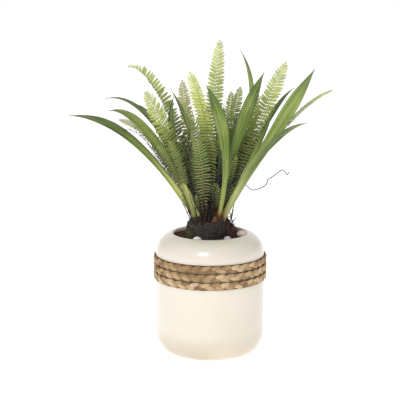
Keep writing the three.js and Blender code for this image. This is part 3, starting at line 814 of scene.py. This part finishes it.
def blade_form(line, foot, width, shade):
    """A folded blade: each step along it is one closed lens-shaped section."""
    midrib = Midrib(*line)
    form = Form()
    rings = []
    above = [share ** 1.05 for share in shares(STRAP_STEPS)]
    for share in (-midrib.depth, -0.5 * midrib.depth, *above):
        place, way, side, normal = midrib.at(share)
        grown = max(share, 0)
        belly = max(sin(pi * grown ** STRAP_BELLY), 0) ** STRAP_SWELL
        taper = foot * (1 - grown)
        taper *= FOOT_PINCH + (1 - FOOT_PINCH) * min(grown / PINCH_REACH, 1)
        half = max(taper + (width - taper * 0.4) * belly, STRAP_POINT) / 2
        ring = []
        for skin, out in both_sides(STRAP_SPAN):
            fold = STRAP_FOLD * (1 - abs(out)) - 0.07 * sin(pi * abs(out))
            ripple = 0.05 * out * abs(out) * sin(19 * grown + 40 * shade)
            thick = BLADE_EDGE + (BLADE_RIB - BLADE_EDGE) * (1 - abs(out)) ** 2
            lift = (ripple - fold) * half + skin * thick
            here = place + side * (out * half) + normal * lift
            ring.append(form.point(here, (out, grown, skin), shade))
        rings.append(ring)
    form.skin(rings)
    return form


chance = Chance("strap leaves")
for name, (*line, foot, width, tint) in STRAPS.items():
    # A shade over 1 gives the leaves at the right their amber foot.
    shade = chance.random() * 0.9 + (1 if line[0][0] > 8 else 0)
    form = blade_form(line, foot, width, shade)
    form.piece(f"strap_blade_{name}", blades[tint], "strap_leaf", f"strap_leaf_{name}")
for name, (*line, foot, width, tint) in INNER_BLADES.items():
    blade_form(line, foot, width, 0.5).piece(f"inner_blade_{name}", blades[tint], "strap_leaf")

# ---------------- fern fronds
# Fifteen sword-fern fronds rise among the straps. Each has a wiry midrib, brown low down and green
# above, with two close rows of thin blunt leaflets that arch a little and shorten to the tip.

RIB_FOOT = 0.95
RIB_TIP = 0.3
RIB_HALF = 0.45
RIB_STEPS = 60
RIB_SHADE = 2  # tells the midrib from the leaflets, whose shades are under 1
LEAFLET_PITCH = 5.2  # distance from one pair of fine leaflets to the next
LEAFLET_FILL = 0.82  # a leaflet's width against that distance
LEAFLET_LEAN = 0.1
LEAFLET_DROOP = 0.12
LEAFLET_SWELL = 0.16  # where on half a sine wave the lowest leaflets' length starts
CROWDED_SWELL = 0.05  # the same for fronds whose low leaflets stand crowded among the stems
LEAFLET_SPAN = (-1, -0.5, 0, 0.5, 1)

# Each tint runs up a frond through foot, low, high and tip. The dark foot is painted shade from the plant's
# heart.
# The pale high and tip colours are the leaflets' own green brightened with painted light shining through
# them.
FROND_TINTS = {
    "bright": ("252e0c", "556424", "b5bf62", "dee3a2"),
    "olive": ("232b10", "434f24", "768336", "9aa456"),
    "deep": ("1a200c", "303a15", "4a5824", "6f7c3c"),
    "pink": ("3a3f20", "807f46", "b2ad79", "c6c295"),
}
# Each frond's foot, middle and tip, the way its upper side faces, the share of its midrib that is
# bare, its longest leaflet and its tint.
FRONDS = {
    "tall": ((-1, 6), (4, 12, 349), (15, 26, 483), (0, -1, 0.1), 0.22, 13, "bright"),
    "front": ((-3, -20), (-2, -54, 330), (-30, -118, 441), (-0.5, -1, 0.3), 0.06, 14, "bright"),
    "front_low": ((-10, -27), (-11, -50, 280), (-21, -88, 343), (0, -1, 0.2), 0.08, 13, "deep"),
    "upright": ((-7, -9), (-7, -13, 330), (-26, -22, 433), (1, -0.8, 0), 0.2, 12, "bright"),
    "pink": ((-8, 17), (-30, 30, 328), (-44, 62, 420), (0.2, -1, 0), 0.25, 11, "pink"),
    "left_high": ((-9, 8), (-72, 13, 388), (-128, 40, 441), (0.8, -0.5, 0.5), 0.2, 15, "bright"),
    "left_bright": ((-17, -10), (-63, -34, 341), (-96, -76, 409), (0.3, -1, 0.4), 0.12, 15, "bright"),
    "left_low": ((-25, -4), (-76, -11, 321), (-137, -30, 365), (0.4, -0.5, 1), 0.25, 12, "pink"),
    "centre_olive": ((4, 10), (25, 18, 330), (33, 36, 404), (0, -1, 0), 0.25, 9, "olive"),
    "centre_back": ((5, 18), (29, 42, 327), (49, 86, 408), (-0.3, -1, 0), 0.25, 10, "olive"),
    "right_bright": ((13, -4), (64, -5, 335), (116, 12, 450), (0, -1, 0.1), 0.2, 14, "bright"),
    "right_back": ((8, 14), (52, 30, 312), (75, 60, 400), (0, -1, 0), 0.25, 11, "olive"),
    "right_far": ((20, -5), (107, -16, 348), (182, -32, 410), (-0.5, -0.3, 1), 0.55, 8, "bright"),
    "back_left": ((-3, 24), (-20, 66, 318), (-52, 125, 388), (0, 1, 0.8), 0.2, 15, "bright"),
    "back_right": ((5, 27), (28, 72, 310), (62, 132, 372), (0, 1, 0.8), 0.2, 15, "bright"),
}
PITCHES = {"right_far": 2.7, "left_low": 3.0, "pink": 4.2, "centre_olive": 4.2, "centre_back": 4.2}
CALM = {"right_far": 0.25, "left_low": 0.5, "tall": 0.6}  # how unruly a frond's leaflets are
SWEEPS = {"front_low": 0.55, "front": 0.35, "left_low": 0.2, "upright": 0.2}  # how far low leaflets hang
DROOPS = {"front": -0.35, "left_high": -0.6}  # these leaflets rise towards their ends
CROWDED = ("front", "front_low", "upright", "left_high", "right_bright", "back_left", "back_right")

greens = {}
for tint, (foot, low, high, tip) in FROND_TINTS.items():
    green = Finish(f"fern_leaf_{tint}", Roughness=0.5)
    along, out, across = green.mark()
    shade = green.shade()
    # This ramp carries the tint's painted shade at the foot and painted light in the upper leaflets.
    grown = green.ramp(along, (0, foot), (0.22, foot), (0.5, low), (0.76, high), (0.95, tip))
    varied = green.mix(grown, "3a4a1c", (1 - shade).between(0.35, 2.4))
    edged = green.mix(varied, "d3dc9a", (0.75 - abs(across)).between(0.1, 0.6) * 0.3)
    # Painted shadow: one side of each leaflet darkens towards its edge.
    edged = green.mix(edged, "4a5a26", across.between(-0.55, -1.1) * 0.4)
    vein = (1 - abs(across)).between(0.8, 1) * (1 - out) * 0.4
    leaflet_color = green.mix(edged, green.mix(grown, "4c5a26", 0.5), vein)
    rib_color = green.ramp(
        along, (0, "2c2119"), (0.35, "5c4428"), (0.55, "8a7440"), (0.8, "9c9c4e"), (1, "b4bd70"))
    green.dress(
        Base_Color=green.mix(leaflet_color, rib_color, shade > 1.5),
        Normal=green.relief(green.noise(green.place(), 900), 0.12))
    greens[tint] = green


def leaflet(form, steps, root, axis, ahead, up, long, half, along, shade, lean, droop):
    """One blunt leaflet: it leans ahead, droops towards its end and arches down at both edges."""
    rings = []
    for out in shares(steps):
        place = root + axis * (long * out)
        place = place + ahead * (long * lean * out ** 1.5) - up * (long * droop * out ** 1.6)
        wide = half * min(1, 0.55 + 5 * out) * max(1 - out ** 5, 0.02) ** 0.6
        wide *= 1 + 0.05 * cos(26 * out)
        ring = []
        for skin, across in both_sides(LEAFLET_SPAN):
            arch = 0.3 * half * across * across - 0.12 * half * (1 - abs(across))
            lift = skin * 0.13 * (1 - 0.7 * abs(across)) - arch
            here = place + ahead * (across * wide) + up * lift
            ring.append(form.point(here, (along, out, across), shade))
        rings.append(ring)
    form.skin(rings)


def grow_frond(form, line, bare, reach, chance, pitch, foot=RIB_FOOT, sweep=0.1, calm=1,
               droop=LEAFLET_DROOP, crowded=False, steps=9):
    """A midrib with its two rows of leaflets, which hang more, and less evenly, towards the foot."""
    midrib = Midrib(*line)
    rod(form, midrib.stem(RIB_STEPS), foot, RIB_TIP, 8, RIB_SHADE)
    count = round(midrib.length * (1 - bare) / pitch)
    pitch = (1 - bare) / (count + 1)
    swell, power = (CROWDED_SWELL, 1.5) if crowded else (LEAFLET_SWELL, 0.8)
    for pair in range(count + 1):
        grown = pair / count
        short = sin(pi * min(swell + 0.8 * grown, 0.5)) ** power
        long = reach * short * max(1 - grown ** 6, 0.02) ** 0.6
        for side_way in (-1, 1):
            share = bare + pitch * (pair + 0.5 + 0.12 * side_way)
            place, way, side, normal = midrib.at(min(share, 1))
            wild = calm * (1 - 0.75 * grown)
            twist = chance(-0.45, 0.45) * wild
            ahead = (way + normal * twist).normalized()
            up = (normal - way * twist).normalized()
            half = pitch * midrib.length * (LEAFLET_FILL + 0.14 * grown) / 2
            lean = LEAFLET_LEAN + 0.26 * wild * chance(-1, 1) + 0.7 * grown ** 3 - sweep * (1 - grown)
            leaflet(
                form, steps, place + side * (side_way * RIB_HALF), side * side_way, ahead, up,
                (long + RIB_HALF) * chance(0.92, 1.04), half, share,
                chance.random(), lean, droop + 0.4 * wild * chance(-0.4, 1))


chance = Chance("fern fronds")
for name, (*line, bare, reach, tint) in FRONDS.items():
    form = Form()
    grow_frond(
        form, line, bare, reach, chance, PITCHES.get(name, LEAFLET_PITCH), sweep=SWEEPS.get(name, 0.1),
        calm=CALM.get(name, 1), droop=DROOPS.get(name, LEAFLET_DROOP), crowded=name in CROWDED)
    form.piece(f"fern_frond_leaf_{name}", greens[tint], "fern_leaf", f"fern_frond_{name}")

# ---------------- dark sprays
# Eight fine sprays, violet-black, fill the space under the fronds. A wiry stem carries long thin
# side twigs that lie almost along it, and each twig carries a few soft needles.

SPRAY_FOOT = 0.75
SPRAY_TIP = 0.25
SPRAY_STEPS = 40
TWIG_REACH = 3.6  # the longest twig against the spray's half width
NEEDLES = 3

# Each spray's foot, middle and tip, the way it faces, its pairs of twigs, the share of its stem that
# is bare and its half width.
SPRAYS = {
    "left_front": ((-28, -10), (-88, -28, 322), (-129, -48, 351), (0.3, -1, 0.4), 16, 0.24, 5),
    "left_rear": ((-27, 6), (-85, 3, 316), (-123, 2, 355), (0.3, -1, 0.4), 16, 0.24, 5),
    "left_upright": ((-13, 0), (-49, -7, 314), (-68, -16, 372), (0.3, -1, 0), 14, 0.24, 5),
    "left_foot": ((-26, -20), (-35, -36, 236), (-42, -48, 255), (0, -1, 0), 10, 0.18, 4),
    "centre": ((-18, -25), (-31, -46, 299), (-30, -74, 358), (0, -1, 0), 14, 0.24, 5),
    "front": ((-5, -31), (10, -57, 278), (16, -84, 327), (0, -1, 0), 14, 0.21, 5),
    "centre_back": ((-1, 15), (28, 25, 305), (42, 40, 363), (0, -1, 0), 14, 0.24, 5),
    "right": ((17, 5), (57, 11, 316), (89, 24, 359), (-0.3, -1, 0), 16, 0.24, 5),
}

wire = Finish("dark_spray", 0.3, Roughness=0.6)
wire.dress(Base_Color=wire.ramp(
    wire.shade() * 0.7 + wire.noise(wire.place(), 200) * 0.3,
    (0.15, "17141b"), (0.5, "2b2630"), (0.8, "443c44"), (1, "5a5a48")))


def grow_spray(form, line, pairs, bare, reach, chance):
    """A wiry stem with pairs of side twigs, each set with needles."""
    midrib = Midrib(*line)
    rod(form, midrib.stem(SPRAY_STEPS), SPRAY_FOOT, SPRAY_TIP, 6, 0.3)
    for pair in range(pairs):
        share = bare + (1 - bare) * (pair + 0.4) / pairs
        place, way, side, normal = midrib.at(share)
        long = TWIG_REACH * reach * sin(pi * (LEAFLET_SWELL + 0.8 * pair / (pairs - 1))) ** 0.8
        long = min(long, (1.04 - share) * midrib.length)
        for side_way in (-1, 1):
            spread = side * (side_way * chance(0.12, 0.42)) + normal * chance(-0.25, 0.25)
            out = (way + spread).normalized()
            end = place + out * long * chance(0.8, 1.1)
            bend = (place + end) / 2 + normal * chance(-0.4, 0.4)
            rod(form, [place, bend, end], 0.42, 0.2, 4, chance.random())
            for needle in range(NEEDLES):
                base = place.lerp(end, (needle + 1) / NEEDLES)
                turn = chance(0, 2 * pi)
                spread = side * cos(turn) + normal * sin(turn)
                tip = base + (out * 2.2 + spread).normalized() * chance(1.8, 3.6)
                spike(form, base, tip, 0.18, shade=chance.random())


chance = Chance("dark sprays")
for name, (*line, pairs, bare, reach) in SPRAYS.items():
    form = Form()
    grow_spray(form, line, pairs, bare, reach, chance)
    form.piece(f"fine_spray_{name}", wire, "dark_spray", f"dark_spray_{name}")

# ---------------- undergrowth
# Short dark sprays, young fronds and old bare stems crowd the heart of the plant between the tall
# leaves. They come out of the mound among them, lean out with them and end below half their height.

DARK_SHOOTS = 84
YOUNG_FRONDS = 60
BACK_FRONDS = 26
OLD_STEMS = 70
FRONT_STEMS = 34
THIN_RIB = 0.6
FEW_STEPS = 5  # along a leaflet that is mostly hidden
SHOOT_RING = 22  # how far from the middle a shoot can stand
SHOOT_LEFT = -0.66  # the furthest that a shoot leans to the left for each millimetre that it rises
SHOOT_RIGHT = 0.45
MOUND_TOP = SOIL_LEVEL + MOUND_HEIGHT

# Three fine fronds low on the left lie over the strap leaves where these have left the bundle.
LEFT_FRONDS = (
    ((-22, -24), (-53, -58, 292), (-79, -76, 332), (0.3, -1, 0.4)),
    ((-18, -26), (-43, -56, 294), (-62, -72, 339), (0.2, -1, 0.2)),
    ((-24, -20), (-60, -48, 299), (-89, -60, 336), (0.3, -1, 0.5)),
)


def shoot(chance, tall, lean, right=SHOOT_RIGHT):
    """The line of a short shoot that leans out from the mound's middle. Those in front are shortest."""
    angle = chance(0, 2 * pi)
    distance = SHOOT_RING * sqrt(chance.random())
    foot = (distance * cos(angle) + MOUND_CENTRE_X, distance * sin(angle))
    out = Vector((*foot, 0)) / SHOOT_RING
    rise = chance(*tall) * (1 - 0.55 * max(-out.y, 0))
    way = out * chance(*lean) + Vector((chance(-0.12, 0.12), chance(-0.12, 0.12), 0))
    way.x = min(max(way.x, SHOOT_LEFT), right)
    start = Vector((*foot, MOUND_TOP))
    middle = start + way * rise * 0.42 + Vector((0, 0, rise * 0.55))
    tip = start + way * rise + Vector((0, 0, rise))
    return foot, middle, tip, (chance(-0.4, 0.4), -1, chance(0, 0.3))


chance = Chance("dark shoots")
form = Form()
for number in range(DARK_SHOOTS):
    grow_spray(form, shoot(chance, (35, 115), (0.2, 0.7), 0.54), 12, 0.18, 4.5, chance)
form.piece("undergrowth_sprays", wire, "dark_spray")

chance = Chance("young fronds")
form = Form()
for number in range(YOUNG_FRONDS):
    line = shoot(chance, (40, 140), (0.15, 0.75))
    reach = chance(6, 10)
    grow_frond(form, line, 0.2, reach, chance, 4.4, THIN_RIB, 0.4, crowded=True, steps=FEW_STEPS)
for number in range(BACK_FRONDS):
    # Taller ones behind fill the plant's two sides.
    x, y = chance(-20, 16), chance(-2, 20)
    rise = chance(75, 135)
    lean = chance(-0.8, -0.35) if number % 3 else chance(0.2, 0.45)
    tip = (x + lean * rise, y + rise * chance(-0.2, 0.25), MOUND_TOP + rise)
    middle = (x + lean * rise * 0.4, (y + tip[1]) / 2, MOUND_TOP + rise * 0.56)
    line = ((x, y), middle, tip, (0, -1, 0.2))
    grow_frond(form, line, 0.3, chance(7, 10), chance, 4.2, THIN_RIB, 0.2, steps=FEW_STEPS)
# The dark deep tint paints shade on these fronds, deep in the heart of the plant.
form.piece("undergrowth_fronds", greens["deep"], "fern_leaf")

chance = Chance("left fronds")
form = Form()
for line in LEFT_FRONDS:
    grow_frond(form, line, 0.5, chance(5.5, 7), chance, 3.4, THIN_RIB, 0.3)
form.piece("left_low_fronds", greens["deep"], "fern_leaf")

stem = Finish("old_stem", Roughness=0.8)
grain = stem.noise(stem.place(), 260, 3)
stem.dress(
    Base_Color=stem.ramp(stem.shade() * 0.6 + grain * 0.4, (0.2, "1a1512"), (0.5, "352a22"), (0.8, "5a4632")),
    Normal=stem.relief(grain, 0.3))
chance = Chance("old stems")
form = Form()
for number in range(OLD_STEMS):
    line = Midrib(*shoot(chance, (30, 85), (0.25, 0.6))).stem(14, 0.12)
    rod(form, line, chance(0.6, 1.1), 0.3, 6, chance.random())
for number in range(FRONT_STEMS):
    foot = Vector((chance(-13, 6), chance(-31, -24), SOIL_LEVEL + 22))
    rise = chance(30, 62)
    bend = Vector((chance(-5, 5), chance(-8, 0), 0))
    tip = foot + Vector((chance(-0.25, 0.25), chance(-0.3, 0.05), 1)) * rise
    line = [foot.lerp(tip, t) + bend * (4 * t * (1 - t)) for t in shares(12)]
    rod(form, line, chance(0.6, 1.1), 0.25, 6, chance.random() * 0.6)
form.piece("old_stems", stem, "dark_spray")

# ---------------- dry sheath, twig and tendril
# A papery brown sheath, split into fibres, wraps the foot of the right-hand leaves. A dead twig with
# side shoots and one long thin tendril, green at its foot and hooked at its end, grow beside them.

SHEATH = ((4, -29), (5, -33, 210), (9, -35, 219), (0.3, -1, 0))
SHEATH_FOOT = 5.4
SHEATH_WIDTH = 8
SHEATH_FIBRES = 90
TWIG_RADIUS = 1.05
TWIG_STEM = ((31, -13, 193), (34, -14, 200), (33.5, -15, 208), (31.5, -15, 217), (28, -16, 229))
TWIG_SHOOTS = (
    ((33, -15, 211), (34.5, -15, 219), (36, -14, 226)),
    ((34, -15, 206), (38, -16, 211), (41, -16, 215)),
    ((32.5, -15, 213), (27, -18, 216), (21.5, -20, 215)),
)
TENDRIL_RADIUS = 0.72
TENDRIL = (
    (30, -5, 199), (34, -7, 220), (40, -11, 244), (46, -14, 256), (53, -20, 265), (61, -27, 260),
    (67, -30, 259), (79, -30, 263), (86, -29, 269), (87, -27, 274), (95, -25, 279), (105, -22, 286),
    (111, -20, 288), (117, -20, 281), (120, -20, 285),
)

husk = Finish("dry_husk", Roughness=0.75)
across, along = husk.mark()[:2]
paper = husk.noise(husk.vector(across * 8, along * 2, 0), 1, 4, 0.7)
husk.dress(
    Base_Color=husk.ramp(paper, (0.3, "33231a"), (0.46, "5f4029"), (0.6, "8c6038"), (0.78, "c39a62")),
    Normal=husk.relief(paper, 0.5))
sheath = blade_form(SHEATH, SHEATH_FOOT, SHEATH_WIDTH, 0.4)
sheath.piece("papery_sheath", husk, "dry_sheath", "dry_sheath")

chance = Chance("sheath fibres")
fibres = Form()
for number in range(SHEATH_FIBRES):
    x, y = chance(2, 19), chance(-28, -22)
    foot = Vector((x, y, SOIL_LEVEL + mound_rise(x, y) + 4))
    way = Vector((chance(-0.2, 0.6), chance(-0.35, 0), 1)).normalized()
    bend = Vector((chance(-1, 1), chance(-1, 0.5), 0)) * 2
    long = chance(6, 20)
    line = [foot + way * (long * t) + bend * t * t for t in shares(6)]
    rod(fibres, line, chance(0.4, 0.8), 0.15, 5, mark=chance(0, 9))
fibres.piece("sheath_fibres", husk, "dry_sheath")


def smooth_line(points, steps):
    """A Catmull-Rom curve through the points."""
    points = [Vector(point) for point in points]
    line = []
    ends = [points[0] * 2 - points[1], *points, points[-1] * 2 - points[-2]]
    for before, here, there, after in zip(ends, ends[1:], ends[2:], ends[3:]):
        for t in shares(steps)[:-1]:
            line.append((
                here * 2 + (there - before) * t + (before * 2 - here * 5 + there * 4 - after) * t ** 2
                + (here * 3 - before - there * 3 + after) * t ** 3) / 2)
    return line + [points[-1]]


wood = Finish("dry_wood", Roughness=0.85)
grain = wood.noise(wood.place(), 450, 3, 0.7)
wood.dress(
    Base_Color=wood.ramp(grain, (0.3, "2a1a14"), (0.55, "4e3328"), (0.75, "765844")),
    Normal=wood.relief(grain, 0.4))
twig = Form()
rod(twig, smooth_line(TWIG_STEM, 6), TWIG_RADIUS, TWIG_RADIUS * 0.55, 8)
for points in TWIG_SHOOTS:
    rod(twig, smooth_line(points, 5), TWIG_RADIUS * 0.75, TWIG_RADIUS * 0.4, 8)
twig.piece("dead_twig", wood, "dry_wood", "dry_twig")

stalk = Finish("tendril_skin", 0.3, Roughness=0.6)
reach = stalk.parts(stalk.place())[0]
aged = stalk.ramp(stalk.noise(stalk.place(), 160, 3), (0.35, "2f2a2a"), (0.6, "4a4442"), (0.8, "5e5850"))
stalk.dress(Base_Color=stalk.mix("8c9a56", aged, reach.between(46 * MM, 58 * MM)))
tendril = Form()
rod(tendril, smooth_line(TENDRIL, 8), TENDRIL_RADIUS, TENDRIL_RADIUS * 0.9, 8)
tendril.piece("tendril_shoot", stalk, "tendril", "tendril")

# ---------------- floor, light and camera
# The plant stands on a plain white studio floor before a white wall. The room is dimmer to its right,
# and one soft lamp hangs in front, a little to the left. The camera looks a little down on it.

CAMERA_PLACE = (-0.01564, -1.4687, 0.5008)
CAMERA_PITCH = 0.177
CAMERA_LENS = 86.46
FLOOR_HALF = 40
SKY_LEFT = 0.38
SKY_RIGHT = 0.1
SKY_TOP = 0.8
LAMP_PLACE = (-0.45, -1.55, 1.4)
LAMP_AIM = (0, 0, 0.22)
LAMP_SIZE = 0.55
LAMP_POWER = 13

backdrop = Finish(
    "studio_floor", 0.1, Roughness=0.9, Base_Color=(0.92, 0.92, 0.915, 1),
    Emission_Color=(1, 1, 1, 1), Emission_Strength=0.6)
corners = [(x * FLOOR_HALF, y * FLOOR_HALF, 0) for x, y in ((-1, -1), (1, -1), (1, 1), (-1, 1))]
mesh = bpy.data.meshes.new("studio_floor")
mesh.from_pydata(corners, [], [(0, 1, 2, 3)])
mesh.materials.append(backdrop.holder)
show("studio_floor", mesh)

world = bpy.data.worlds.new("studio_sky")
bpy.context.scene.world = world
sky = Mixer(world)
x, y, z = sky.parts(sky.node("TexCoord"))
from_side = sky.node("MapRange", None, {0: x, 1: -0.9, 2: 0.9, 3: SKY_LEFT, 4: SKY_RIGHT})
overhead = z.between(0.3, 1)
dome = from_side * (1 - overhead) + overhead * SKY_TOP
wall = y.between(0.9, 0.6) * z.between(0.05, 0.2)
background = world.node_tree.nodes["Background"]
sky.feed(background, "Color", (1, 1, 1, 1))
sky.feed(background, "Strength", dome * wall + (1 - wall))

light = bpy.data.lights.new("soft_key", "AREA")
light.size = LAMP_SIZE
light.energy = LAMP_POWER
lamp = show("soft_key", light)
lamp.location = LAMP_PLACE
lamp.rotation_euler = (Vector(LAMP_AIM) - Vector(LAMP_PLACE)).to_track_quat("-Z", "Y").to_euler()

camera_data = bpy.data.cameras.new("camera")
camera_data.lens = CAMERA_LENS
camera = show("camera", camera_data)
camera.location = CAMERA_PLACE
camera.rotation_euler = (pi / 2 - CAMERA_PITCH, 0, 0)
bpy.context.scene.camera = camera
bpy.context.scene.view_settings.view_transform = "Standard"
